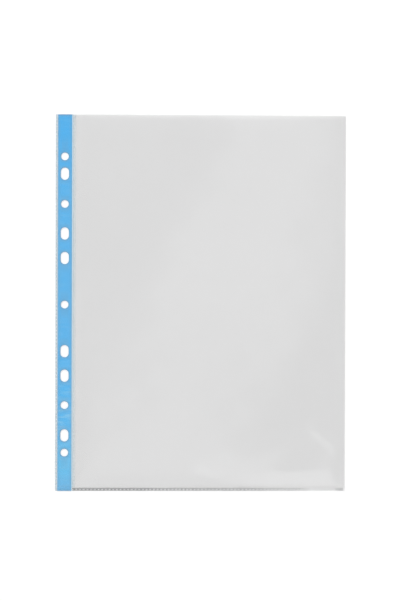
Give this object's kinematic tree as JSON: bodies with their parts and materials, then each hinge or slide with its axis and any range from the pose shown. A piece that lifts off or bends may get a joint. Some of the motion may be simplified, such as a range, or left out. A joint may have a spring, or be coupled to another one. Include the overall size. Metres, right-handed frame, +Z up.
{
  "type": "punched document pocket",
  "caption": "Clear film pocket for A4 sheets with a blue punched strip along the binding side, crimped welds and an open top.",
  "frame": {"origin": "centre of the face that the pocket lies on", "axes": "+X from the punched edge to the folded edge, +Y from the foot weld to the open mouth, +Z up through the front film"},
  "size_m": [0.2354, 0.305, 0.0004],
  "materials": {
    "clear_film": "clear, glossy, faintly grained polypropylene film",
    "fused_film": "crimped and slightly milky where two films are fused",
    "blue_strip": "light blue strip plastic, seen through clear film"
  },
  "bodies": {
    "binding_edge": {"back_margin_film": "clear_film", "binding_strip": "blue_strip", "front_margin_film": "clear_film", "edge_weld": "fused_film", "margin_foot_weld": "fused_film"},
    "pocket": {"back_film": "clear_film", "seam_weld": "fused_film", "foot_weld": "fused_film", "side_fold": "clear_film"},
    "front_film": {"front_film": "clear_film"}
  },
  "joints": [
    {"name": "page_turn", "type": "hinge", "parent": "binding_edge", "child": "pocket", "pos_m": [-0.1041, 0, 0.00022], "axis": [0, -1, 0], "range_deg": [0, 90]},
    {"name": "mouth_open", "type": "hinge", "parent": "pocket", "child": "front_film", "pos_m": [0, -0.1492, 0.00032], "axis": [1, 0, 0], "range_deg": [0, 4]}
  ]
}
